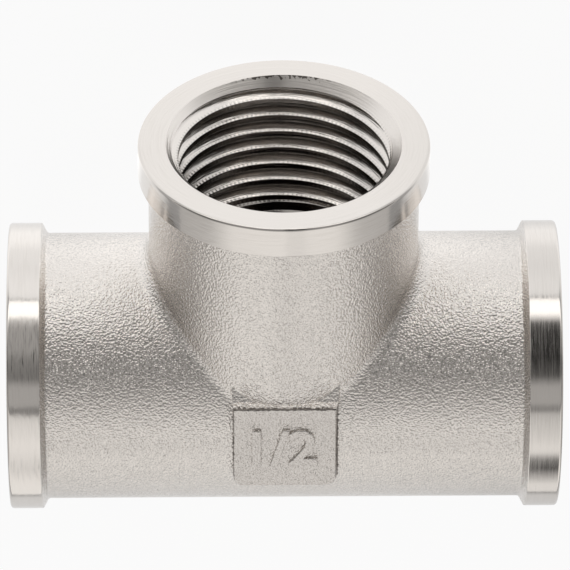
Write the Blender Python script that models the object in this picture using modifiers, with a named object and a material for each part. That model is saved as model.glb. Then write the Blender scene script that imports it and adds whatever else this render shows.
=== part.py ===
"""Threaded tee for half-inch pipe: one brass forging with three collared ports, each drilled and tapped.

The run lies along X and the branch points along +Y. The tee rests on its three collars, as it lies on
a bench, with the plane of its axes level. The world origin is on the bench, midway along the run and
midway between the branch's face and the back of the collars. Lengths are in metres.
"""

import math

import bmesh
import bpy
from mathutils import Matrix, Vector

MM = 0.001

# Pipe thread, G 1/2: 14 threads to the inch, 55 degrees between the flanks
THREAD_PITCH = 1.814 * MM
THREAD_MAJOR_RADIUS = 10.4775 * MM
THREAD_HALF_ANGLE = math.radians(27.5)
THREAD_DEPTH_IN_PITCHES = 0.640327
THREAD_HEIGHT = 0.93 * MM
THREAD_FULL_LENGTH = 12.4 * MM
THREAD_RUNOUT = 1.5 * MM
THREAD_START_ANGLE = math.radians(343)

# Drilling: each port's hole stops clear of the others, and a ledge steps down to its passage
DRILL_PAST_THREAD = 0.5 * MM
DRILL_UNDER_CREST = 0.15 * MM
CROSSING_CLEARANCE = 1.4025 * MM
RUN_LEDGE = 0.9 * MM
BRANCH_LEDGE = 1.2 * MM
MOUTH_CLEARANCE = 0.17 * MM

# Forging: the run and the branch are plain cylinders with one wall over the thread
WALL_OVER_THREAD = 1.7925 * MM
CROTCH_RADIUS = 1.5 * MM

# Collar round each mouth: its rim is turned, and the forged shoulder behind it slopes to the body
COLLAR_STAND = 0.93 * MM
COLLAR_WIDTH = 3.0 * MM
COLLAR_EDGE = 0.3 * MM
SHOULDER_LENGTH = 0.5 * MM
SHOULDER_FILLET = 0.35 * MM

# Flat pad on the side that faces up, square at the branch's end and rounded at the other
PAD_WIDTH = 9.3 * MM
PAD_HEIGHT = 9.05 * MM
PAD_CENTRE_Y = 0.33 * MM
PAD_STAND = 0.48 * MM
PAD_ROOT = 1.8 * MM
PAD_CORNER = 0.9 * MM
PAD_EDGE = 0.12 * MM
PAD_DRAFT = 0.1 * MM

# Facets: round forms share one count, so that the ports meet the crotch vertex to vertex
FACETS = 48
THREAD_FACETS = 32
CROTCH_STEPS = 5
EDGE_STEPS = 2
FILLET_STEPS = 3

# Room that a cutter takes beyond the face it passes through
OVERSHOOT = 1.0 * MM

TEE_NAME = "tee_body"
THREAD_CREST_RADIUS = THREAD_MAJOR_RADIUS - THREAD_HEIGHT
TAP_DEPTH = THREAD_FULL_LENGTH + THREAD_RUNOUT
DRILL_RADIUS = THREAD_CREST_RADIUS - DRILL_UNDER_CREST
DRILL_DEPTH = TAP_DEPTH + DRILL_PAST_THREAD
CENTRE_TO_FACE = DRILL_DEPTH + DRILL_RADIUS + CROSSING_CLEARANCE
BODY_RADIUS = THREAD_MAJOR_RADIUS + WALL_OVER_THREAD
COLLAR_RADIUS = BODY_RADIUS + COLLAR_STAND
AXES_HEIGHT = COLLAR_RADIUS
RUN_AXIS_Y = (COLLAR_RADIUS - CENTRE_TO_FACE) / 2
PORT_REACH = BODY_RADIUS + 1.2 * CROTCH_RADIUS

# Each port's frame has its own Z pointing out of the mouth
PORTS = {
    "left": Matrix.Rotation(-math.pi / 2, 4, "Y"),
    "right": Matrix.Rotation(math.pi / 2, 4, "Y"),
    "branch": Matrix.Rotation(-math.pi / 2, 4, "X"),
}


def clear_scene():
    for obj in list(bpy.data.objects):
        bpy.data.objects.remove(obj)


def collection(name):
    made = bpy.data.collections.new(name)
    bpy.context.scene.collection.children.link(made)
    return made


def placed_object(name, mesh, home, frame, turn=None):
    """An object in the tee's own frame, which an empty holds at the crossing of the axes."""
    obj = bpy.data.objects.new(name, mesh)
    home.objects.link(obj)
    obj.parent = frame
    if turn is not None:
        obj.matrix_local = turn
    return obj


def make_cutter(name, mesh, home, frame, turn=None):
    obj = placed_object(name, mesh, home, frame, turn)
    obj.hide_render = True
    obj.display_type = "WIRE"
    return obj


def add_screw(obj, steps, turns=1, climb=0.0):
    """Turns the object's profile about its Z, and lets it climb by that much a turn."""
    screw = obj.modifiers.new("turning", "SCREW")
    screw.axis = "Z"
    screw.angle = 2 * math.pi
    screw.screw_offset = climb
    screw.iterations = turns
    screw.steps = screw.render_steps = steps
    screw.use_merge_vertices = True
    screw.merge_threshold = 1e-6


def mesh_from(bm, name):
    bmesh.ops.recalc_face_normals(bm, faces=bm.faces)
    mesh = bpy.data.meshes.new(name)
    bm.to_mesh(mesh)
    bm.free()
    return mesh


def arc(centre, radius, start, end, steps):
    """Points on a circle in a profile, where the first number is radial and the second is axial."""
    angles = [start + (end - start) * i / steps for i in range(steps + 1)]
    return [(centre[0] + radius * math.cos(a), centre[1] + radius * math.sin(a)) for a in angles]


def profile_mesh(points, name):
    """An open line of (radius, height) points in the plane of X and Z, to be turned about Z."""
    mesh = bpy.data.meshes.new(name)
    mesh.from_pydata([(r, 0, z) for r, z in points], [(i, i + 1) for i in range(len(points) - 1)], [])
    return mesh


def plug_profile(outline, name):
    """The outline of a turned cutter, top to bottom, closed to the axis by its two flat ends."""
    return profile_mesh([(0, outline[0][1])] + outline + [(0, outline[-1][1])], name)


def spin_port(bm, turn):
    """Turns the outside of one port once round its axis."""
    verts = [bm.verts.new((r, 0, z)) for r, z in port_profile()]
    edges = [bm.edges.new(pair) for pair in zip(verts, verts[1:])]
    others = set(bm.verts) - set(verts)
    bmesh.ops.spin(bm, geom=verts + edges, axis=(0, 0, 1), cent=(0, 0, 0), angle=2 * math.pi,
                   steps=FACETS, use_merge=True)
    bmesh.ops.transform(bm, matrix=turn, verts=list(set(bm.verts) - others))


def port_profile():
    """The outside of one port, from its face down to where the crotch begins."""
    edge_centre = (COLLAR_RADIUS - COLLAR_EDGE, CENTRE_TO_FACE - COLLAR_EDGE)
    rim = arc(edge_centre, COLLAR_EDGE, math.pi / 2, 0, EDGE_STEPS)
    rim_end = (COLLAR_RADIUS, CENTRE_TO_FACE - COLLAR_WIDTH)

    steepness = math.atan2(COLLAR_STAND, SHOULDER_LENGTH)
    slope_length = math.hypot(COLLAR_STAND, SHOULDER_LENGTH)
    tangent = min(SHOULDER_FILLET * math.tan(steepness / 2), 0.8 * slope_length)
    fillet = tangent / math.tan(steepness / 2)
    foot = CENTRE_TO_FACE - COLLAR_WIDTH - SHOULDER_LENGTH
    fillet_centre = (BODY_RADIUS + fillet, foot - tangent)
    root = arc(fillet_centre, fillet, math.pi - steepness, math.pi, FILLET_STEPS)
    return rim + [rim_end] + root + [(BODY_RADIUS, PORT_REACH)]


def crotch_row(angle, side):
    """One line of the skin at one height: along the run, over the rolled fillet and up the branch.

    A ball of the crotch radius rolls in the corner and touches both cylinders. Its centre keeps the
    same distance from both axes, and the fillet is the arc between the two points of contact.
    """
    across, up = math.cos(angle), math.sin(angle)
    centre_reach = BODY_RADIUS + CROTCH_RADIUS
    centre = centre_reach * Vector((side * across, across, up))
    to_run = Vector((0, -across, -up))
    to_branch = Vector((-side * across, 0, -up))
    row = [Vector((side * PORT_REACH, BODY_RADIUS * across, BODY_RADIUS * up))]
    for i in range(CROTCH_STEPS + 1):
        towards = to_run.slerp(to_branch, i / CROTCH_STEPS)
        row.append(centre + CROTCH_RADIUS * towards)
    row.append(Vector((side * BODY_RADIUS * across, PORT_REACH, BODY_RADIUS * up)))
    return row


def back_row(angle):
    """One line of the run's far half, from port to port."""
    y, z = BODY_RADIUS * math.cos(angle), BODY_RADIUS * math.sin(angle)
    return [Vector((x, y, z)) for x in (-PORT_REACH, 0, PORT_REACH)]


def loft(bm, rows):
    lines = [[bm.verts.new(point) for point in row] for row in rows]
    for line, following in zip(lines, lines[1:]):
        for i in range(len(line) - 1):
            bm.faces.new((line[i], line[i + 1], following[i + 1], following[i]))


def forging_mesh():
    """The solid forging: three turned ports joined by the filleted crotch."""
    bm = bmesh.new()
    for turn in PORTS.values():
        spin_port(bm, turn)
    half = FACETS // 2
    front = [math.pi * (i / half - 0.5) for i in range(half + 1)]
    for side in (-1, 1):
        loft(bm, [crotch_row(angle, side) for angle in front])
    loft(bm, [back_row(math.pi - angle) for angle in front])
    bmesh.ops.remove_doubles(bm, verts=bm.verts, dist=1e-6)
    bmesh.ops.holes_fill(bm, edges=bm.edges, sides=0)
    return mesh_from(bm, "forging")


def pad_mesh():
    """The pad as a block that rises out of the forging, with drafted sides and two rounded corners."""
    bm = bmesh.new()
    bmesh.ops.create_cube(bm, size=1)
    top = BODY_RADIUS + PAD_STAND
    height = PAD_STAND + PAD_ROOT
    bmesh.ops.scale(bm, vec=(PAD_WIDTH, PAD_HEIGHT, height), verts=bm.verts)
    bmesh.ops.translate(bm, vec=(0, PAD_CENTRE_Y, top - height / 2), verts=bm.verts)
    sides = [e for e in bm.edges if abs(e.verts[0].co.z - e.verts[1].co.z) > height / 2]
    corners = [e for e in sides if e.verts[0].co.y < PAD_CENTRE_Y]
    bmesh.ops.bevel(bm, geom=corners, offset=PAD_CORNER, offset_type="OFFSET", affect="EDGES",
                    segments=FILLET_STEPS, profile=0.5, material=-1)
    upper = [v for v in bm.verts if v.co.z > top - height / 2]
    draft = (1 - 2 * PAD_DRAFT / PAD_WIDTH, 1 - 2 * PAD_DRAFT / PAD_HEIGHT, 1)
    middle = Matrix.Translation((0, -PAD_CENTRE_Y, 0))
    bmesh.ops.scale(bm, vec=draft, space=middle, verts=upper)
    rim = [e for e in bm.edges if all(v in upper for v in e.verts)]
    bmesh.ops.bevel(bm, geom=rim, offset=PAD_EDGE, offset_type="OFFSET", affect="EDGES",
                    segments=1, profile=0.5, material=-1)
    return mesh_from(bm, "pad")


def countersink_profile():
    """The 45 degree countersink at a mouth, as a cone that stands out beyond the face."""
    mouth = THREAD_MAJOR_RADIUS + MOUTH_CLEARANCE
    depth = mouth - DRILL_RADIUS + OVERSHOOT / 2
    cone = [
        (mouth + OVERSHOOT, CENTRE_TO_FACE + OVERSHOOT),
        (mouth - depth, CENTRE_TO_FACE - depth),
    ]
    return plug_profile(cone, "countersink")


def socket_steps(ledge):
    """The tap drill's hole below the thread, stepping at 45 degrees to the passage behind it."""
    top = CENTRE_TO_FACE - THREAD_FULL_LENGTH - THREAD_RUNOUT / 4
    bottom = CENTRE_TO_FACE - DRILL_DEPTH
    return [
        (DRILL_RADIUS, top),
        (DRILL_RADIUS, bottom),
        (DRILL_RADIUS - ledge, bottom - ledge),
    ]


def run_drill_profile():
    """The run is bored right through, with the same steps at both ends."""
    steps = socket_steps(RUN_LEDGE)
    far_steps = [(radius, -height) for radius, height in reversed(steps)]
    return plug_profile(steps + far_steps, "run_drill")


def branch_drill_profile():
    """The branch is bored into the run, just past the crossing of the axes."""
    steps = socket_steps(BRANCH_LEDGE)
    return plug_profile(steps + [(steps[-1][0], -OVERSHOOT)], "branch_drill")


def thread_ridge():
    """One pitch of the tap's outline, as (radius, height) points from crest to crest."""
    pitch_radius = THREAD_MAJOR_RADIUS - THREAD_DEPTH_IN_PITCHES * THREAD_PITCH / 2
    slope = math.tan(THREAD_HALF_ANGLE)

    def half_width(radius):
        return THREAD_PITCH / 4 + (pitch_radius - radius) * slope

    foot = half_width(THREAD_CREST_RADIUS)
    tip = half_width(THREAD_MAJOR_RADIUS)
    return [
        (THREAD_CREST_RADIUS, -foot),
        (THREAD_MAJOR_RADIUS, -tip),
        (THREAD_MAJOR_RADIUS, tip),
        (THREAD_CREST_RADIUS, foot),
        (THREAD_CREST_RADIUS, THREAD_PITCH - foot),
    ]


def tap_object(home, frame):
    """A right-hand helix of the ridge, longer than the thread. It crosses the face's plane at +X."""
    turns_inside = math.ceil(TAP_DEPTH / THREAD_PITCH) + 1
    turns = turns_inside + math.ceil(OVERSHOOT / THREAD_PITCH) + 1
    lowest = CENTRE_TO_FACE - turns_inside * THREAD_PITCH
    ridge = profile_mesh([(r, z + lowest) for r, z in thread_ridge()], "tap_ridge")
    obj = make_cutter("tap_helix", ridge, home, frame)
    add_screw(obj, THREAD_FACETS, turns, THREAD_PITCH)
    return obj


def tap_mesh(helix):
    """The helix trimmed flat at both ends and tapered along its lead, as a closed solid."""
    graph = bpy.context.evaluated_depsgraph_get()
    bm = bmesh.new()
    bm.from_object(helix, graph)
    bmesh.ops.remove_doubles(bm, verts=bm.verts, dist=1e-6)
    full_end = CENTRE_TO_FACE - THREAD_FULL_LENGTH
    for height, outward in ((CENTRE_TO_FACE + OVERSHOOT, 1), (CENTRE_TO_FACE - TAP_DEPTH, -1)):
        bmesh.ops.bisect_plane(bm, geom=bm.verts[:] + bm.edges[:] + bm.faces[:], dist=1e-7,
                               plane_co=(0, 0, height), plane_no=(0, 0, outward), clear_outer=True)
    lead_depth = THREAD_MAJOR_RADIUS - DRILL_RADIUS + 3 * DRILL_UNDER_CREST
    for v in bm.verts:
        into_lead = max(0.0, (full_end - v.co.z) / THREAD_RUNOUT)
        limit = THREAD_MAJOR_RADIUS - lead_depth * into_lead
        radius = v.co.xy.length
        if radius > limit:
            v.co.xy *= limit / radius
    bmesh.ops.holes_fill(bm, edges=bm.edges, sides=0)
    return mesh_from(bm, "tap")


def nickel_plate():
    material = bpy.data.materials.new("nickel_plated_brass")
    material.use_nodes = True
    shader = material.node_tree.nodes["Principled BSDF"]
    shader.inputs["Base Color"].default_value = (0.60, 0.57, 0.53, 1)
    shader.inputs["Metallic"].default_value = 1
    shader.inputs["Roughness"].default_value = 0.35
    return material


def combine(body, other, operation):
    modifier = body.modifiers.new(other.name, "BOOLEAN")
    modifier.operation = operation
    modifier.solver = "EXACT"
    modifier.object = other


def add_plug(name, profile, home, frame, port):
    """A turned cutter in a port. It is turned half a facet, clear of the tap's edges."""
    half_facet = Matrix.Rotation(math.pi / FACETS, 4, "Z")
    plug = make_cutter(name, profile, home, frame, PORTS[port] @ half_facet)
    add_screw(plug, FACETS)
    return plug


def build():
    clear_scene()
    parts = collection("threaded_tee")
    tools = collection("cutters")
    frame = bpy.data.objects.new("crossing_of_axes", None)
    parts.objects.link(frame)
    frame.location = (0, RUN_AXIS_Y, AXES_HEIGHT)

    body = placed_object(TEE_NAME, forging_mesh(), parts, frame)
    body.data.materials.append(nickel_plate())
    combine(body, make_cutter("pad_block", pad_mesh(), tools, frame), "UNION")

    combine(body, add_plug("run_drill", run_drill_profile(), tools, frame, "right"), "DIFFERENCE")
    combine(body, add_plug("branch_drill", branch_drill_profile(), tools, frame, "branch"), "DIFFERENCE")
    countersink = countersink_profile()
    tap = tap_mesh(tap_object(tools, frame))
    for port, turn in PORTS.items():
        start = turn @ Matrix.Rotation(THREAD_START_ANGLE, 4, "Z")
        combine(body, make_cutter(f"{port}_tap", tap, tools, frame, start), "DIFFERENCE")
        combine(body, add_plug(f"{port}_countersink", countersink, tools, frame, port), "DIFFERENCE")

    body.data.shade_smooth()
    body.data.set_sharp_from_angle(angle=math.radians(30))
    normals = body.modifiers.new("flat_faces", "WEIGHTED_NORMAL")
    normals.keep_sharp = True


build()
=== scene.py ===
import math

import bmesh
import bpy
from mathutils import Matrix, Vector


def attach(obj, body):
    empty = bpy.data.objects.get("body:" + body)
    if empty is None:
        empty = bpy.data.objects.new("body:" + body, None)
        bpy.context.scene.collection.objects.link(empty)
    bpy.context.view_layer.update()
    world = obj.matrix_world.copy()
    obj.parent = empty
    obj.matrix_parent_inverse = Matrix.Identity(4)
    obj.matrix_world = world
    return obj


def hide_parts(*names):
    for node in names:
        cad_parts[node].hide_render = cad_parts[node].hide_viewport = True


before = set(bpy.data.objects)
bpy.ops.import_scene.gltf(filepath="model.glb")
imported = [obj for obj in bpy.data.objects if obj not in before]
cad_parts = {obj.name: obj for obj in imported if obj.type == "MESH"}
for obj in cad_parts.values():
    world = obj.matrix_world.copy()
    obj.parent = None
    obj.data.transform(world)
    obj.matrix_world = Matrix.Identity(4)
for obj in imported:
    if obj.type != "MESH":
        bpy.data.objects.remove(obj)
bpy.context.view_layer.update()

# The camera looks down on the tee, which lies on its collars, from the side that carries the pad.
# It is turned so that the branch points up in the picture, as it does in the photograph.
mm = 0.001
half_run = 25.2 * mm
collar_radius = 13.2 * mm
run_axis_y = (collar_radius - half_run) / 2
crossing = Vector((0, run_axis_y, collar_radius))

camera_rise = math.radians(37.0)
camera_roll = math.radians(-1.33)
camera_yaw = math.radians(-1.28)
camera_distance = 547.9 * mm
camera_across = 0.188 * mm
camera_up = 7.314 * mm
photo_width = 570
focal_pixels = 5917.2


def camera_axes():
    """The camera's right, up and back in the tee's frame, as the rows of a matrix."""
    c, s = math.cos(camera_rise), math.sin(camera_rise)
    level = Matrix(((1, 0, 0), (0, c, -s), (0, s, c)))
    cy, sy = math.cos(camera_yaw), math.sin(camera_yaw)
    yaw = Matrix(((cy, -sy, 0), (sy, cy, 0), (0, 0, 1)))
    cr, sr = math.cos(camera_roll), math.sin(camera_roll)
    roll = Matrix(((cr, sr, 0), (-sr, cr, 0), (0, 0, 1)))
    return roll @ level @ yaw


axes = camera_axes()
camera_data = bpy.data.cameras.new("camera")
camera = bpy.data.objects.new("camera", camera_data)
bpy.context.scene.collection.objects.link(camera)
bpy.context.scene.camera = camera
place = axes.transposed() @ Vector((camera_across, camera_up, camera_distance))
camera.matrix_world = Matrix.Translation(crossing + place) @ axes.transposed().to_4x4()
camera_data.sensor_width = 36
camera_data.lens = focal_pixels / photo_width * camera_data.sensor_width
camera_data.clip_start = 0.01
camera_data.clip_end = 20

# The tee is one brass forging. Its skin is two plain cylinders of one diameter, run and branch,
# that meet in a small rolled fillet. Round each mouth a collar is turned true in the lathe, and the
# forged shoulder behind it slopes down to the body.
body_radius = 12.27 * mm
crotch_radius = 1.5 * mm
port_reach = body_radius + 1.2 * crotch_radius
collar_width = 3.0 * mm
collar_edge = 0.3 * mm
collar_heel = 0.12 * mm
shoulder_length = 0.5 * mm
shoulder_fillet = 0.35 * mm
round_steps = 192
crotch_steps = 14
seam_gap = 0.001 * mm
ports = {
    "left": Matrix.Rotation(-math.pi / 2, 4, "Y"),
    "right": Matrix.Rotation(math.pi / 2, 4, "Y"),
    "branch": Matrix.Rotation(-math.pi / 2, 4, "X"),
}
skin, run_turning, branch_turning, run_bore, branch_bore = range(5)


def arc(centre, radius, start, end, steps):
    """Points of (radius, height) on a circle in a turned outline."""
    angles = [start + (end - start) * i / steps for i in range(steps + 1)]
    return [(centre[0] + radius * math.cos(a), centre[1] + radius * math.sin(a)) for a in angles]


def collar_outline():
    """One port from its face down to the crotch: rim, turned collar, forged shoulder, body."""
    rim = arc((collar_radius - collar_edge, half_run - collar_edge), collar_edge, math.pi / 2, 0, 5)
    stand = collar_radius - body_radius
    steepness = math.atan2(stand, shoulder_length)
    tangent = shoulder_fillet * math.tan(steepness / 2)
    foot = half_run - collar_width - shoulder_length
    centre = (body_radius + shoulder_fillet, foot - tangent)
    root = arc(centre, shoulder_fillet, math.pi - steepness, math.pi, 7)
    heel_down = collar_heel * math.tan((math.pi / 2 - steepness + math.pi / 2) / 4)
    heel_centre = (collar_radius - collar_heel, half_run - collar_width + heel_down)
    heel = arc(heel_centre, collar_heel, 0, -steepness, 4)
    return rim + heel + root + [(body_radius, port_reach)]


def turn_outline(bm, outline, steps, climb=0.0):
    """Spins an outline once round Z. It may climb as it turns, and is then left open."""
    line = [bm.verts.new((radius, 0, height)) for radius, height in outline]
    edges = [bm.edges.new(pair) for pair in zip(line, line[1:])]
    bmesh.ops.spin(bm, geom=line + edges, axis=(0, 0, 1), cent=(0, 0, 0), dvec=(0, 0, climb / steps),
                   angle=2 * math.pi, steps=steps, use_merge=climb == 0)


def crotch_point(side, angle, step):
    """A point of the skin between a run port and the branch, at one angle round the run.

    A ball rolls in the corner and touches both cylinders. The first and last steps are the ports'
    ends, and those between follow the ball from its contact with the run to that with the branch.
    """
    across, up = math.cos(angle), math.sin(angle)
    if step == 0:
        return Vector((side * port_reach, body_radius * across, body_radius * up))
    if step == crotch_steps + 2:
        return Vector((side * body_radius * across, port_reach, body_radius * up))
    ball = (body_radius + crotch_radius) * Vector((side * across, across, up))
    on_run = Vector((0, -across, -up))
    on_branch = Vector((-side * across, 0, -up))
    return ball + crotch_radius * on_run.slerp(on_branch, (step - 1) / crotch_steps)


def drape_sheet(bm, columns, rows, place):
    """A grid whose points are laid where place(column, row) says."""
    sheet = bmesh.ops.create_grid(bm, x_segments=columns, y_segments=rows, size=0.5)["verts"]
    for v in sheet:
        v.co = place(round((v.co.x + 0.5) * columns), round((v.co.y + 0.5) * rows))


def closed_mesh(bm, name):
    """Merges doubles, closes the open ends with flat faces and turns all faces outwards."""
    bmesh.ops.remove_doubles(bm, verts=bm.verts, dist=seam_gap)
    bmesh.ops.holes_fill(bm, edges=[e for e in bm.edges if e.is_boundary], sides=0)
    bmesh.ops.recalc_face_normals(bm, faces=bm.faces)
    mesh = bpy.data.meshes.new(name)
    bm.to_mesh(mesh)
    bm.free()
    return mesh


def forging_mesh():
    bm = bmesh.new()
    for turn in ports.values():
        others = set(bm.verts)
        turn_outline(bm, collar_outline(), round_steps)
        bmesh.ops.transform(bm, matrix=turn, verts=list(set(bm.verts) - others))
    half = round_steps // 2

    def around(row):
        return math.pi * (row / half - 0.5)

    for side in (-1, 1):
        drape_sheet(bm, crotch_steps + 2, half, lambda i, j, s=side: crotch_point(s, around(j), i))

    def back_point(i, j):
        angle = math.pi - around(j)
        across, up = body_radius * math.cos(angle), body_radius * math.sin(angle)
        return Vector(((i - 1) * port_reach, across, up))

    drape_sheet(bm, 2, half, back_point)
    mesh = closed_mesh(bm, "forging")
    turned_from = half_run - collar_width - 0.01 * mm
    for face in mesh.polygons:
        corners = [mesh.vertices[i].co for i in face.vertices]
        if all(abs(c.x) > turned_from for c in corners):
            face.material_index = run_turning
        if all(c.y > turned_from for c in corners):
            face.material_index = branch_turning
    return mesh


def stand_in(name, mesh, turn=Matrix.Identity(4)):
    """An object used to cut or join, placed in the tee's frame."""
    obj = bpy.data.objects.new(name, mesh)
    bpy.context.scene.collection.objects.link(obj)
    obj.matrix_world = Matrix.Translation(crossing) @ turn
    return obj


def combine(body, other, operation):
    step = body.modifiers.new(other.name, "BOOLEAN")
    step.operation = operation
    step.solver = "MANIFOLD"
    step.object = other


tee = stand_in("tee_forging", forging_mesh())

# The pad is a flat boss that the forging die leaves on the side that faces up. It carries the size
# of the thread in raised figures, and its wall towards the branch slopes more than the others.
pad_width = 9.3 * mm
pad_height = 9.05 * mm
pad_centre_y = 0.33 * mm
pad_stand = 0.48 * mm
pad_root = 1.8 * mm
pad_corner = 0.9 * mm
pad_edge = 0.14 * mm
pad_top_setback = 0.27 * mm
pad_side_slopes = {"right": 0.22, "left": 0.1}
pad_wall_depth = 0.8 * mm
pad_wall_slope = 0.38
pad_foot_slope = 2.0
mark_width = 6.0 * mm
mark_height = 0.26 * mm


def pad_mesh():
    bm = bmesh.new()
    bmesh.ops.create_cube(bm, size=1)
    top = body_radius + pad_stand
    height = pad_stand + pad_root
    bmesh.ops.scale(bm, vec=(pad_width, pad_height, height), verts=bm.verts)
    bmesh.ops.translate(bm, vec=(0, pad_centre_y, top - height / 2), verts=bm.verts)
    sides = [e for e in bm.edges if abs(e.verts[0].co.z - e.verts[1].co.z) > height / 2]
    corners = [e for e in sides if e.verts[0].co.y < pad_centre_y]
    bmesh.ops.bevel(bm, geom=corners, offset=pad_corner, offset_type="OFFSET", affect="EDGES",
                    segments=8, profile=0.5, material=-1)
    bmesh.ops.bisect_plane(bm, geom=bm.verts[:] + bm.edges[:] + bm.faces[:], dist=1e-8,
                           plane_co=(0, 0, top - pad_wall_depth), plane_no=(0, 0, 1))
    upper = [v for v in bm.verts if v.co.z > top - pad_wall_depth / 2]
    for v in bm.verts:
        depth = top - v.co.z
        v.co.x += depth * (pad_side_slopes["right"] if v.co.x > 0 else -pad_side_slopes["left"])
        if v.co.y > pad_centre_y:
            in_wall = min(depth, pad_wall_depth)
            v.co.y += in_wall * pad_wall_slope + (depth - in_wall) * pad_foot_slope - pad_top_setback
    rim = [e for e in bm.edges if all(v in upper for v in e.verts)]
    bmesh.ops.bevel(bm, geom=rim, offset=pad_edge, offset_type="OFFSET", affect="EDGES",
                    segments=3, profile=0.5, material=-1)
    return closed_mesh(bm, "pad")


def mark_mesh():
    """The raised figures of the thread size, half an inch, as the forging die leaves them."""
    letters = bpy.data.curves.new("size_mark", "FONT")
    letters.body = "1/2"
    letters.align_x = "CENTER"
    letters.align_y = "CENTER"
    letters.extrude = 0.08
    letters.bevel_depth = 0.025
    letters.bevel_resolution = 3
    letters.offset = 0.005
    letters.resolution_u = 6
    holder = bpy.data.objects.new("size_mark", letters)
    bm = bmesh.new()
    bm.from_mesh(bpy.data.meshes.new_from_object(holder))
    bpy.data.objects.remove(holder)
    spots = [v.co for v in bm.verts]
    lowest, highest = (Vector([pick(s[i] for s in spots) for i in range(3)]) for pick in (min, max))
    middle, size = (lowest + highest) / 2, highest - lowest
    bmesh.ops.translate(bm, vec=-middle, verts=bm.verts)
    in_plane = mark_width / size.x
    bmesh.ops.scale(bm, vec=(in_plane, in_plane, 3 * mark_height / size.z), verts=bm.verts)
    rise = body_radius + pad_stand - mark_height / 2
    bmesh.ops.translate(bm, vec=(0, pad_centre_y, rise), verts=bm.verts)
    return closed_mesh(bm, "size_mark")


pad = stand_in("pad", pad_mesh())
mark = stand_in("mark", mark_mesh())
combine(tee, pad, "UNION")
combine(tee, mark, "UNION")

# Each port is countersunk, bored, tapped to G 1/2 and stepped down to its passage. The cutters are
# the tools that do it: a countersink, a stepped drill, and a tap whose ridge is a helix.
thread_pitch = 1.814 * mm
thread_major = 10.4775 * mm
thread_height = 0.93 * mm
thread_length = 12.4 * mm
thread_runout = 1.5 * mm
thread_start = math.radians(343)
flank_angle = math.radians(27.5)
thread_depth_in_pitches = 0.640327
crest_round = 0.06 * mm
root_round = 0.13 * mm
drill_past_thread = 0.5 * mm
drill_under_crest = 0.15 * mm
run_ledge = 0.9 * mm
branch_ledge = 1.2 * mm
mouth_clearance = 0.17 * mm
countersink_angle = math.radians(45)
overshoot = 1.0 * mm
thread_steps = 160
thread_crest = thread_major - thread_height
tap_depth = thread_length + thread_runout
drill_radius = thread_crest - drill_under_crest
drill_depth = tap_depth + drill_past_thread


def round_corner(before, corner, after, radius, steps):
    """A tangent arc that takes the place of one corner of an outline."""
    a, b, c = (Vector(p) for p in (before, corner, after))
    into, out = (a - b).normalized(), (c - b).normalized()
    half_angle = into.angle(out) / 2
    reach = radius / math.tan(half_angle)
    centre = b + (into + out).normalized() * radius / math.sin(half_angle)
    start, end = b + into * reach - centre, b + out * reach - centre
    return [tuple(centre + radius * start.slerp(end, i / steps)) for i in range(steps + 1)]


def tap_ridge():
    """One pitch of the tap's outline, from the middle of one crest to the middle of the next."""
    pitch_radius = thread_major - thread_depth_in_pitches * thread_pitch / 2
    slope = math.tan(flank_angle)
    foot = thread_pitch / 4 + (pitch_radius - thread_crest) * slope
    tip = thread_pitch / 4 + (pitch_radius - thread_major) * slope
    low_crest = (thread_crest, -thread_pitch / 2)
    low_foot = (thread_crest, -foot)
    low_tip = (thread_major, -tip)
    high_tip = (thread_major, tip)
    high_foot = (thread_crest, foot)
    high_crest = (thread_crest, thread_pitch / 2)
    return (
        [low_crest]
        + round_corner(low_crest, low_foot, low_tip, crest_round, 3)
        + round_corner(low_foot, low_tip, high_tip, root_round, 3)
        + round_corner(low_tip, high_tip, high_foot, root_round, 3)
        + round_corner(high_tip, high_foot, high_crest, crest_round, 3)
        + [high_crest]
    )


def tap_mesh():
    """The helix, one turn at a time, trimmed flat at both ends and tapered along its lead."""
    bm = bmesh.new()
    turns_inside = math.ceil(tap_depth / thread_pitch) + 1
    lowest = half_run - turns_inside * thread_pitch
    outline = [(radius, height + lowest) for radius, height in tap_ridge()]
    turn_outline(bm, outline, thread_steps, thread_pitch)
    first_turn = bm.verts[:] + bm.edges[:] + bm.faces[:]
    for count in range(1, turns_inside + 2):
        next_turn = bmesh.ops.duplicate(bm, geom=first_turn)["geom"]
        moved = [v for v in next_turn if isinstance(v, bmesh.types.BMVert)]
        bmesh.ops.translate(bm, vec=(0, 0, count * thread_pitch), verts=moved)
    bmesh.ops.remove_doubles(bm, verts=bm.verts, dist=seam_gap)
    for height, outward in ((half_run + overshoot, 1), (half_run - tap_depth, -1)):
        bmesh.ops.bisect_plane(bm, geom=bm.verts[:] + bm.edges[:] + bm.faces[:], dist=1e-8,
                               plane_co=(0, 0, height), plane_no=(0, 0, outward), clear_outer=True)
    lead_depth = thread_major - drill_radius + 3 * drill_under_crest
    for v in bm.verts:
        into_lead = max(0.0, (half_run - thread_length - v.co.z) / thread_runout)
        limit = thread_major - lead_depth * into_lead
        if v.co.xy.length > limit:
            v.co.xy *= limit / v.co.xy.length
    return closed_mesh(bm, "tap")


def plug_mesh(outline, name):
    """A turned cutter with flat ends."""
    bm = bmesh.new()
    turn_outline(bm, outline, round_steps)
    half_step = Matrix.Rotation(math.pi / round_steps, 3, "Z")
    bmesh.ops.rotate(bm, verts=bm.verts, cent=(0, 0, 0), matrix=half_step)
    return closed_mesh(bm, name)


def socket_steps(ledge):
    """The drilled hole below the thread, and its 45 degree step down to the passage."""
    top = half_run - thread_length - thread_runout / 4
    bottom = half_run - drill_depth
    return [(drill_radius, top), (drill_radius, bottom), (drill_radius - ledge, bottom - ledge)]


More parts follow.
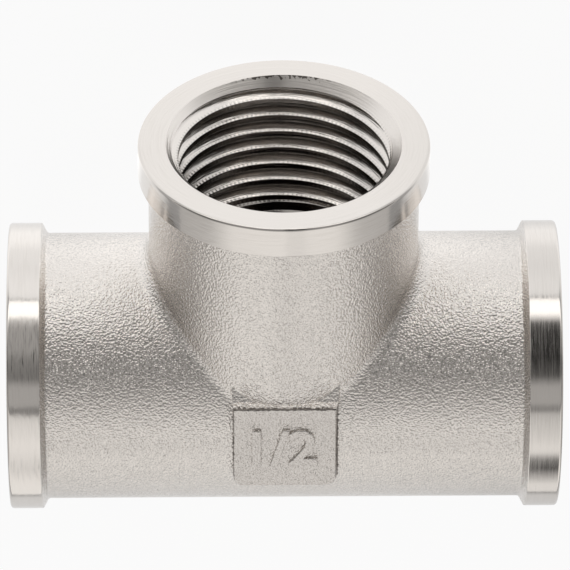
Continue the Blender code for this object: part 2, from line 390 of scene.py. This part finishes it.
def countersink_mesh():
    mouth = thread_major + mouth_clearance
    slope = math.tan(countersink_angle)
    depth = (mouth - drill_radius) / slope + overshoot / 2
    outline = [(mouth + overshoot * slope, half_run + overshoot),
               (mouth - depth * slope, half_run - depth)]
    return plug_mesh(outline, "countersink")


run_steps = socket_steps(run_ledge)
other_end = [(radius, -height) for radius, height in reversed(run_steps)]
run_drill = plug_mesh(run_steps + other_end, "run_drill")
branch_steps = socket_steps(branch_ledge)
branch_drill = plug_mesh(branch_steps + [(branch_steps[-1][0], -overshoot)], "branch_drill")
countersink = countersink_mesh()
tap = tap_mesh()
cutters = [stand_in("run_drill", run_drill, ports["right"]),
           stand_in("branch_drill", branch_drill, ports["branch"])]
for port, turn in ports.items():
    cutters.append(stand_in(f"{port}_tap", tap.copy(), turn @ Matrix.Rotation(thread_start, 4, "Z")))
    cutters.append(stand_in(f"{port}_countersink", countersink.copy(), turn))
for cutter in cutters:
    for face in cutter.data.polygons:
        face.material_index = branch_bore if cutter.name.startswith("branch") else run_bore
for cutter in cutters:
    combine(tee, cutter, "DIFFERENCE")


# The finish of the tee. Hot-forged brass is shot-blasted, its collars are turned, its ports are tapped,
# and it is then nickel plated all over. So the plate has one colour, and the finish under it differs.
def linear(hex_colour):
    """An sRGB hex colour as the linear RGBA that the nodes take."""
    channels = [int(hex_colour[i:i + 2], 16) / 255 for i in (1, 3, 5)]
    return tuple(c / 12.92 if c <= 0.04045 else ((c + 0.055) / 1.055) ** 2.4 for c in channels) + (1,)


def add(tree, kind, inputs=None, **settings):
    """Adds one node. An input takes a plain value, a socket, or a node, which gives its first output.

    In a Map Range, inputs 0 to 4 are the value, the range it has (low, high) and the one it gets.
    """
    node = tree.nodes.new(kind)
    for key, value in settings.items():
        setattr(node, key, value)
    for key, value in (inputs or {}).items():
        if isinstance(value, bpy.types.Node):
            value = value.outputs[0]
        if isinstance(value, bpy.types.NodeSocket):
            tree.links.new(value, node.inputs[key])
        else:
            node.inputs[key].default_value = value
    return node


def new_material(name):
    material = bpy.data.materials.new(name)
    material.use_nodes = True
    tree = material.node_tree
    return material, tree, tree.nodes["Principled BSDF"]


def finish_metal(tree, shader, colour, roughness, normal):
    shader.inputs["Metallic"].default_value = 1
    tree.links.new(colour, shader.inputs["Base Color"])
    tree.links.new(roughness, shader.inputs["Roughness"])
    tree.links.new(normal, shader.inputs["Normal"])


nickel = linear("#EAE5E0")
# Darker nickel: in the blasted dents it is partly dirt and partly painted shade, and it also darkens the
# turned rings.
nickel_in_pits = linear("#CBC4BC")
# The dark colour of painted shade, and of the chatter marks on the thread crests.
shade_and_chatter_tint = linear("#4C443D")


def pad_painted_shade(tree, spot, grain):
    """Painted shade on the pad: ragged dark lines in the creases at its sides and top edge, and a slight
    painted shade on its top face.
    """
    line_raggedness = 0.14 * mm
    half_width, half_height = pad_width / 2, pad_height / 2
    right_line, right_thickness = half_width + 0.1 * mm, 0.1 * mm
    left_line, left_thickness = -half_width - 0.03 * mm, 0.05 * mm
    top_line, top_thickness = half_height - pad_top_setback, 0.07 * mm
    side_middle, side_reach = 0.1 * mm, half_height - 0.3 * mm
    lines_low, lines_high = 24.0 * mm, 24.6 * mm
    face_low, face_high = 25.4 * mm, 25.6 * mm
    line_strength, shade_strength = 0.8, 0.16
    to_centre = (0, -run_axis_y - pad_centre_y, 0)
    from_pad = add(tree, "ShaderNodeMapping", {"Vector": spot, "Location": to_centre})
    wander = add(tree, "ShaderNodeMapRange", {0: grain, 3: -line_raggedness, 4: line_raggedness})
    ragged = add(tree, "ShaderNodeVectorMath", {0: from_pad, 1: wander}, operation="ADD")
    place = add(tree, "ShaderNodeSeparateXYZ", {0: ragged}).outputs
    right = add(tree, "ShaderNodeMath", {0: place["X"], 1: right_line, 2: right_thickness},
                operation="COMPARE")
    left = add(tree, "ShaderNodeMath", {0: place["X"], 1: left_line, 2: left_thickness},
               operation="COMPARE")
    top = add(tree, "ShaderNodeMath", {0: place["Y"], 1: top_line, 2: top_thickness},
              operation="COMPARE")
    beside = add(tree, "ShaderNodeMath", {0: place["Y"], 1: side_middle, 2: side_reach},
                 operation="COMPARE")
    above = add(tree, "ShaderNodeMath", {0: place["X"], 1: 0, 2: half_width}, operation="COMPARE")
    sides = add(tree, "ShaderNodeMath", {0: right, 1: left}, operation="MAXIMUM")
    upright = add(tree, "ShaderNodeMath", {0: sides, 1: beside}, operation="MULTIPLY")
    level = add(tree, "ShaderNodeMath", {0: top, 1: above}, operation="MULTIPLY")
    line = add(tree, "ShaderNodeMath", {0: upright, 1: level}, operation="MAXIMUM")
    facing_up = add(tree, "ShaderNodeMapRange", {0: place["Z"], 1: lines_low, 2: lines_high,
                                                 3: 0, 4: line_strength})
    # The painted crease shade shows only high up on the pad, and the top face gets a slight painted
    # shade.
    painted_crease_shade = add(tree, "ShaderNodeMath", {0: line, 1: facing_up}, operation="MULTIPLY")
    shade = add(tree, "ShaderNodeMapRange", {0: place["Z"], 1: face_low, 2: face_high,
                                             3: 0, 4: shade_strength})
    return add(tree, "ShaderNodeMath", {0: painted_crease_shade, 1: shade}, operation="MAXIMUM")


def blasted_nickel():
    """Nickel plate over a shot-blasted forging: satin, with a sandy grain of small dents."""
    material, tree, shader = new_material("blasted_nickel_plate")
    # The shot leaves dents of about 0.1 mm. They are drawn at 0.2 mm, so that they show in the render.
    grain_size, grain_depth = 0.2 * mm, 0.12 * mm
    mottle_size = 2.5 * mm
    pit_shade = 0.1
    least_rough, most_rough = 0.13, 0.18
    spot = add(tree, "ShaderNodeTexCoord").outputs["Object"]
    grain = add(tree, "ShaderNodeTexNoise", {"Vector": spot, "Scale": 1 / grain_size, "Detail": 1})
    mottle = add(tree, "ShaderNodeTexNoise", {"Vector": spot, "Scale": 1 / mottle_size, "Detail": 2})
    bump = add(tree, "ShaderNodeBump", {"Height": grain, "Distance": grain_depth, "Strength": 1})
    # The dents are darker in colour: partly dirt in them, partly painted shade.
    pit_dirt_and_shade = add(tree, "ShaderNodeMapRange", {0: grain, 1: 0.36, 2: 0.5, 3: pit_shade, 4: 0})
    satin = add(tree, "ShaderNodeMapRange", {0: mottle, 1: 0.3, 2: 0.7,
                                             3: least_rough, 4: most_rough})
    plate = add(tree, "ShaderNodeMix", {"Factor": pit_dirt_and_shade, 6: nickel, 7: nickel_in_pits},
                data_type="RGBA").outputs[2]
    # Painted shade round the pad's creases and on its top face.
    colour = add(tree, "ShaderNodeMix", {"Factor": pad_painted_shade(tree, spot, grain), 6: plate, 7: shade_and_chatter_tint},
                 data_type="RGBA").outputs[2]
    finish_metal(tree, shader, colour, satin.outputs[0], bump.outputs[0])
    return material


def ring_pattern(tree, axis, feed, streak):
    """Coordinates for marks that run round one axis, and each spot's distance and place from it.

    The marks lie one feed apart, along the axis and across the face, and each fades after one streak.
    """
    spot = add(tree, "ShaderNodeTexCoord").outputs["Object"]
    centred = add(tree, "ShaderNodeMapping", {"Vector": spot, "Location": -crossing})
    off_axis = (0, 1, 1) if axis == "X" else (1, 0, 1)
    sideways = (0, 1, 0) if axis == "X" else (1, 0, 0)
    scales = tuple(1 / streak if off else 1 / feed for off in off_axis)
    across = add(tree, "ShaderNodeVectorMath", {0: centred, 1: off_axis}, operation="MULTIPLY")
    radius = add(tree, "ShaderNodeVectorMath", {0: across}, operation="LENGTH").outputs["Value"]
    rings = add(tree, "ShaderNodeMath", {0: radius, 1: 1 / feed}, operation="MULTIPLY")
    shift = add(tree, "ShaderNodeVectorMath", {0: sideways, "Scale": rings}, operation="SCALE")
    pattern = add(tree, "ShaderNodeVectorMath", {0: centred, 1: scales, 2: shift},
                  operation="MULTIPLY_ADD")
    return pattern, radius, centred


def turned_nickel(name, axis):
    """Nickel plate over a lathe-turned collar: bright, with fine rings left by the tool.

    The tool chattered a little on the left of the run, so the rings waver there.
    """
    material, tree, shader = new_material(name)
    ring_feed, ring_streak, ring_depth = 0.13 * mm, 3 * mm, 0.004 * mm
    wave_feed, wave_streak, wave_depth = 0.5 * mm, 1.4 * mm, 0.012 * mm
    wavers_to, steady_from, steady_share = -6 * mm, 6 * mm, 0.3
    least_rough, most_rough = 0.08, 0.16
    ring_shade = 0.18
    fine, _, centred = ring_pattern(tree, axis, ring_feed, ring_streak)
    coarse = ring_pattern(tree, axis, wave_feed, wave_streak)[0]
    along_run = add(tree, "ShaderNodeSeparateXYZ", {0: centred}).outputs["X"]
    chatter = add(tree, "ShaderNodeMapRange", {0: along_run, 1: wavers_to, 2: steady_from,
                                               3: 1, 4: steady_share})
    rings = add(tree, "ShaderNodeTexNoise", {"Vector": fine, "Scale": 1, "Detail": 2})
    waves = add(tree, "ShaderNodeTexNoise", {"Vector": coarse, "Scale": 1, "Detail": 1})
    ringed = add(tree, "ShaderNodeBump", {"Height": rings, "Distance": ring_depth, "Strength": 1})
    bump = add(tree, "ShaderNodeBump", {"Height": waves, "Distance": wave_depth, "Strength": chatter,
                                        "Normal": ringed})
    polish = add(tree, "ShaderNodeMapRange", {0: rings, 1: 0.3, 2: 0.7,
                                              3: least_rough, 4: most_rough})
    shade = add(tree, "ShaderNodeMapRange", {0: rings, 1: 0.25, 2: 0.55, 3: ring_shade, 4: 0})
    colour = add(tree, "ShaderNodeMix", {"Factor": shade, 6: nickel, 7: nickel_in_pits},
                 data_type="RGBA").outputs[2]
    finish_metal(tree, shader, colour, polish.outputs[0], bump.outputs[0])
    return material


def tapped_nickel(name, axis):
    """Nickel plate over tapped brass: bright on the flanks, with painted shade deeper in the bore, on the
    flats and in the grooves.

    The tap chatters along the crests, the countersink is rougher, and a ragged painted shadow of a burr
    lies along its lip, on the low side only.
    """
    material, tree, shader = new_material(name)
    line_feed, line_streak, line_depth = 0.12 * mm, 4 * mm, 0.02 * mm
    # Chatter marks are about 0.3 mm apart. They are drawn at 0.42 mm, so that they show in the render.
    chatter_pitch, chatter_depth = 0.42 * mm, 0.005 * mm
    beads_full, beads_end, beads_darkness = thread_crest + 0.04 * mm, thread_crest + 0.28 * mm, 0.4
    above_the_drill = thread_crest - 0.1 * mm
    bright_to, shaded_from = half_run - 0.7 * mm, half_run - 3.0 * mm
    groove_from, groove_floor = thread_crest + 0.55 * mm, thread_major - 0.1 * mm
    flank_darkness, groove_darkness, flat_darkness = 0.08, 0.75, 0.85
    lip_shadow_feed, lip_shadow_streak = 0.5 * mm, 0.3 * mm
    lip_edge, lip_wander = half_run + 0.36 * mm, 0.9 * mm
    lip_shadow_full, lip_shadow_end, lip_shadow_darkness = -10.1 * mm, -9.4 * mm, 0.85
    cone_end, cone_start = half_run - 1.1 * mm, half_run - 0.8 * mm
    thread_roughness, cone_roughness = 0.18, 0.28
    marks_round = round(2 * math.pi * thread_crest / chatter_pitch)
    fine, radius, centred = ring_pattern(tree, axis, line_feed, line_streak)
    parts = add(tree, "ShaderNodeSeparateXYZ", {0: centred}).outputs
    along = add(tree, "ShaderNodeMath", {0: parts[axis]}, operation="ABSOLUTE")

    other = "Y" if axis == "X" else "X"
    angle = add(tree, "ShaderNodeMath", {0: parts[other], 1: parts["Z"]}, operation="ARCTAN2")
    turned_by = add(tree, "ShaderNodeMath", {0: angle, 1: marks_round}, operation="MULTIPLY")
    chatter = add(tree, "ShaderNodeMath", {0: turned_by}, operation="SINE")
    near_crest = add(tree, "ShaderNodeMapRange", {0: radius, 1: beads_full, 2: beads_end, 3: 1, 4: 0})
    above_drill = add(tree, "ShaderNodeMath", {0: radius, 1: above_the_drill}, operation="GREATER_THAN")
    on_crest = add(tree, "ShaderNodeMath", {0: near_crest, 1: above_drill}, operation="MULTIPLY")
    beads = add(tree, "ShaderNodeMath", {0: chatter, 1: on_crest}, operation="MULTIPLY")
    lines = add(tree, "ShaderNodeTexNoise", {"Vector": fine, "Scale": 1, "Detail": 2})
    lined = add(tree, "ShaderNodeBump", {"Height": lines, "Distance": line_depth, "Strength": 1})
    bump = add(tree, "ShaderNodeBump", {"Height": beads, "Distance": chatter_depth, "Strength": 1,
                                        "Normal": lined})

    # Painted shade in the bore: darker deeper from the mouth, towards the roots of the grooves, and on
    # the flats that run along the axis.
    depth_shade = add(tree, "ShaderNodeMapRange", {0: along, 1: bright_to, 2: shaded_from})
    groove_shade = add(tree, "ShaderNodeMapRange", {0: radius, 1: groove_from, 2: groove_floor,
                                              3: flank_darkness, 4: groove_darkness})
    normal = add(tree, "ShaderNodeNewGeometry").outputs["True Normal"]
    tilt = add(tree, "ShaderNodeSeparateXYZ", {0: normal}).outputs[axis]
    steep = add(tree, "ShaderNodeMath", {0: tilt}, operation="ABSOLUTE")
    flat_shade = add(tree, "ShaderNodeMapRange", {0: steep, 1: 0.1, 2: 0.4, 3: flat_darkness, 4: 0})
    groove_and_flat_shade = add(tree, "ShaderNodeMath", {0: groove_shade, 1: flat_shade}, operation="MAXIMUM")
    bore_shade = add(tree, "ShaderNodeMath", {0: depth_shade, 1: groove_and_flat_shade}, operation="MULTIPLY")
    spots = add(tree, "ShaderNodeMath", {0: beads, 1: beads_darkness}, operation="MULTIPLY")
    bore_shade_and_chatter = add(tree, "ShaderNodeMath", {0: bore_shade, 1: spots}, operation="MAXIMUM")

    # Painted shadow: a ragged dark line along the lip, on its low side only.
    lip_ragged_pattern = ring_pattern(tree, axis, lip_shadow_feed, lip_shadow_streak)[0]
    lip_raggedness = add(tree, "ShaderNodeTexNoise", {"Vector": lip_ragged_pattern, "Scale": 1, "Detail": 1})
    lip = add(tree, "ShaderNodeMath", {0: lip_raggedness, 1: -lip_wander, 2: lip_edge}, operation="MULTIPLY_ADD")
    at_lip = add(tree, "ShaderNodeMath", {0: along, 1: lip}, operation="GREATER_THAN")
    low_side = add(tree, "ShaderNodeMapRange", {0: parts["Z"], 1: lip_shadow_full, 2: lip_shadow_end,
                                                3: lip_shadow_darkness, 4: 0})
    lip_shadow = add(tree, "ShaderNodeMath", {0: at_lip, 1: low_side}, operation="MULTIPLY")
    dark = add(tree, "ShaderNodeMath", {0: bore_shade_and_chatter, 1: lip_shadow}, operation="MAXIMUM")

    roughness = add(tree, "ShaderNodeMapRange", {0: along, 1: cone_end, 2: cone_start,
                                                 3: thread_roughness, 4: cone_roughness})
    colour = add(tree, "ShaderNodeMix", {"Factor": dark, 6: nickel, 7: shade_and_chatter_tint},
                 data_type="RGBA").outputs[2]
    finish_metal(tree, shader, colour, roughness.outputs[0], bump.outputs[0])
    return material


finishes = {
    skin: blasted_nickel(),
    run_turning: turned_nickel("turned_nickel_run", "X"),
    branch_turning: turned_nickel("turned_nickel_branch", "Y"),
    run_bore: tapped_nickel("tapped_nickel_run", "X"),
    branch_bore: tapped_nickel("tapped_nickel_branch", "Y"),
}
for slot in sorted(finishes):
    tee.data.materials.append(finishes[slot])

# The finished tee is the forging with its pad joined on and its ports cut, as one closed mesh. Its
# edges stay crisp where the tools cut it, and its shading is evened out over the small facets.
bpy.context.view_layer.update()
finished = bpy.data.meshes.new_from_object(tee.evaluated_get(bpy.context.evaluated_depsgraph_get()))
tee.modifiers.clear()
tee.data = finished
for obj in cutters + [pad, mark]:
    bpy.data.objects.remove(obj)
finished.transform(tee.matrix_world)
tee.matrix_world = Matrix.Identity(4)
finished.shade_smooth()
finished.set_sharp_from_angle(angle=math.radians(28))
even = tee.modifiers.new("even_shading", "WEIGHTED_NORMAL")
even.keep_sharp = True
even.weight = 80
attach(tee, "root")
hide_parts("tee_body")

# The floor is a plain white board. The camera sees it white with the tee's soft shadow, and the metal
# sees a
# pool of light painted into its glow: brightest close behind the tee, and weaker to the sides and front.
floor_mesh = bpy.data.meshes.new("floor")
bm = bmesh.new()
bmesh.ops.create_grid(bm, x_segments=1, y_segments=1, size=2.0)
bm.to_mesh(floor_mesh)
bm.free()
floor = bpy.data.objects.new("floor", floor_mesh)
bpy.context.scene.collection.objects.link(floor)


def lay_stops(elements, stops, tint=(1, 1, 1)):
    """Fills a colour ramp with stops, each a place from 0 to 1 and a brightness."""
    for count, (where, level) in enumerate(stops):
        stop = elements[count] if count < 2 else elements.new(1.0)
        stop.position = where
        stop.color = tuple(level * t for t in tint) + (1,)


# Painted light: brightness of the board's glow, as the metal sees it, by its distance in millimetres from
# the tee's middle, on the branch's side.
board_bands = [(-50, 0.8), (-25, 1), (4, 1), (8, 1.28), (12, 1.28), (17, 1.1), (30, 1.05), (60, 1.1)]
board_reach = 60
board_stretch = (1, 0.15, 0)
lit_to, dim_from, dim_level = 35 * mm, 110 * mm, 0.45
side_level = 0.92
right_from, left_or_right_from, side_end = 8 * mm, 14 * mm, 22 * mm
board_glow_share = 0.93
floor_material, tree, shader = new_material("white_board")
shader.inputs["Base Color"].default_value = linear("#E8E8E8")
shader.inputs["Roughness"].default_value = 0.9
spot = add(tree, "ShaderNodeTexCoord").outputs["Object"]
place = add(tree, "ShaderNodeSeparateXYZ", {0: spot}).outputs
stretched = add(tree, "ShaderNodeVectorMath", {0: spot, 1: board_stretch}, operation="MULTIPLY")
from_tee = add(tree, "ShaderNodeVectorMath", {0: stretched}, operation="LENGTH").outputs["Value"]
falloff = add(tree, "ShaderNodeMapRange", {0: from_tee, 1: lit_to, 2: dim_from, 3: 1, 4: dim_level},
              interpolation_type="SMOOTHSTEP")
share_across = add(tree, "ShaderNodeMapRange", {0: place["Y"], 1: -board_reach * mm, 2: board_reach * mm})
bands = add(tree, "ShaderNodeValToRGB", {0: share_across})
lay_stops(bands.color_ramp.elements, [(y / board_reach / 2 + 0.5, level) for y, level in board_bands])
rightward = add(tree, "ShaderNodeMapRange", {0: place["X"], 1: right_from, 2: side_end,
                                             3: 1, 4: side_level})
aside = add(tree, "ShaderNodeMath", {0: place["X"]}, operation="ABSOLUTE")
outward = add(tree, "ShaderNodeMapRange", {0: aside, 1: left_or_right_from, 2: side_end,
                                           3: 1, 4: side_level})
sidewise = add(tree, "ShaderNodeMath", {0: rightward, 1: outward}, operation="MULTIPLY")
banded = add(tree, "ShaderNodeMath", {0: falloff, 1: bands}, operation="MULTIPLY")
board_painted_light = add(tree, "ShaderNodeMath", {0: banded, 1: sidewise}, operation="MULTIPLY")
rays = add(tree, "ShaderNodeLightPath").outputs
glow = add(tree, "ShaderNodeMix", {"Factor": rays["Is Camera Ray"], 2: board_painted_light, 3: 1.0})
white = add(tree, "ShaderNodeEmission", {"Strength": glow})
mirrored = add(tree, "ShaderNodeMath", {0: rays["Is Glossy Ray"], 1: rays["Is Transmission Ray"]},
               operation="MAXIMUM")
seen = add(tree, "ShaderNodeMath", {0: rays["Is Camera Ray"], 1: mirrored}, operation="MAXIMUM")
share = add(tree, "ShaderNodeMath", {0: seen, 1: board_glow_share}, operation="MULTIPLY")
mixed = add(tree, "ShaderNodeMixShader", {0: share, 1: shader, 2: white})
tree.links.new(mixed.outputs[0], tree.nodes["Material Output"].inputs["Surface"])
floor.data.materials.append(floor_material)

# The light is a soft studio: a white room, a bright panel low on the branch's side, and a dark part
# round the camera. A darker corner of the room shows only in what the right side of the tee reflects.
lamp_tint = (1, 0.985, 0.965)
# Brightness of the room by its angle in degrees from straight up, towards the branch's side.
open_room = [(-180, 0.95), (-70, 0.93), (-55, 0.8), (-30, 0.92), (-9, 0.8), (-4, 0.7), (-1, 0.2),
             (2, 0.22), (5, 0.42), (20, 0.42), (27, 0.2), (42, 0.26), (50, 0.38), (68, 0.4), (74, 0.58),
             (78, 1.45), (90, 1.45), (97, 1.15), (110, 1.05), (180, 1.15)]
dark_corner = [(-180, 0.88), (-78, 0.83), (-66, 0.42), (-57, 0.08), (-48, 0.2), (-43, 0.52), (-40, 0.82),
               (-34, 0.84), (-27, 0.74), (-9, 0.58), (-4, 0.52), (-1, 0.22), (2, 0.28), (5, 0.42),
               (19, 0.4), (27, 0.08), (42, 0.02), (62, 0.03), (70, 0.1), (78, 1.45), (88, 1.45),
               (96, 0.95), (110, 0.8), (180, 1.15)]
# The corner's reach to the right, and the dimming to both sides, go by a direction's X from 0 to 1.
corner_start, corner_full, corner_leaves, corner_end = 0.0, 0.03, 0.16, 0.3
dim_start, dim_full, dim_share = 0.5, 0.85, 0.5
world = bpy.data.worlds.new("studio")
bpy.context.scene.world = world
world.use_nodes = True
tree = world.node_tree
direction = add(tree, "ShaderNodeTexCoord").outputs["Generated"]
parts = add(tree, "ShaderNodeSeparateXYZ", {0: direction}).outputs
swing = add(tree, "ShaderNodeMath", {0: parts["Y"], 1: parts["Z"]}, operation="ARCTAN2")
turn = add(tree, "ShaderNodeMapRange", {0: swing, 1: -math.pi, 2: math.pi})
rooms = []
for stops in (open_room, dark_corner):
    ramp = add(tree, "ShaderNodeValToRGB", {0: turn})
    lay_stops(ramp.color_ramp.elements, [((a + 180) / 360, level) for a, level in stops], lamp_tint)
    rooms.append(ramp.outputs[0])
rightward = add(tree, "ShaderNodeMapRange", {0: parts["X"], 1: corner_start, 2: corner_full},
                interpolation_type="SMOOTHSTEP")
far_right = add(tree, "ShaderNodeMapRange", {0: parts["X"], 1: corner_leaves, 2: corner_end,
                                             3: 1, 4: 0}, interpolation_type="SMOOTHSTEP")
corner = add(tree, "ShaderNodeMath", {0: rightward, 1: far_right}, operation="MULTIPLY")
room = add(tree, "ShaderNodeMix", {"Factor": corner, 6: rooms[0], 7: rooms[1]},
           data_type="RGBA").outputs[2]
sideways = add(tree, "ShaderNodeMath", {0: parts["X"]}, operation="ABSOLUTE")
dimmer = add(tree, "ShaderNodeMapRange", {0: sideways, 1: dim_start, 2: dim_full,
                                          3: 1, 4: dim_share}, interpolation_type="SMOOTHSTEP")
lit = add(tree, "ShaderNodeVectorMath", {0: room, "Scale": dimmer}, operation="SCALE")
light = tree.nodes["Background"]
tree.links.new(lit.outputs[0], light.inputs["Color"])
backdrop = add(tree, "ShaderNodeBackground", {"Color": (1, 1, 1, 1)})
rays = add(tree, "ShaderNodeLightPath").outputs
mixed = add(tree, "ShaderNodeMixShader", {0: rays["Is Camera Ray"], 1: light, 2: backdrop})
tree.links.new(mixed.outputs[0], tree.nodes["World Output"].inputs["Surface"])

bpy.context.scene.view_settings.view_transform = "Standard"
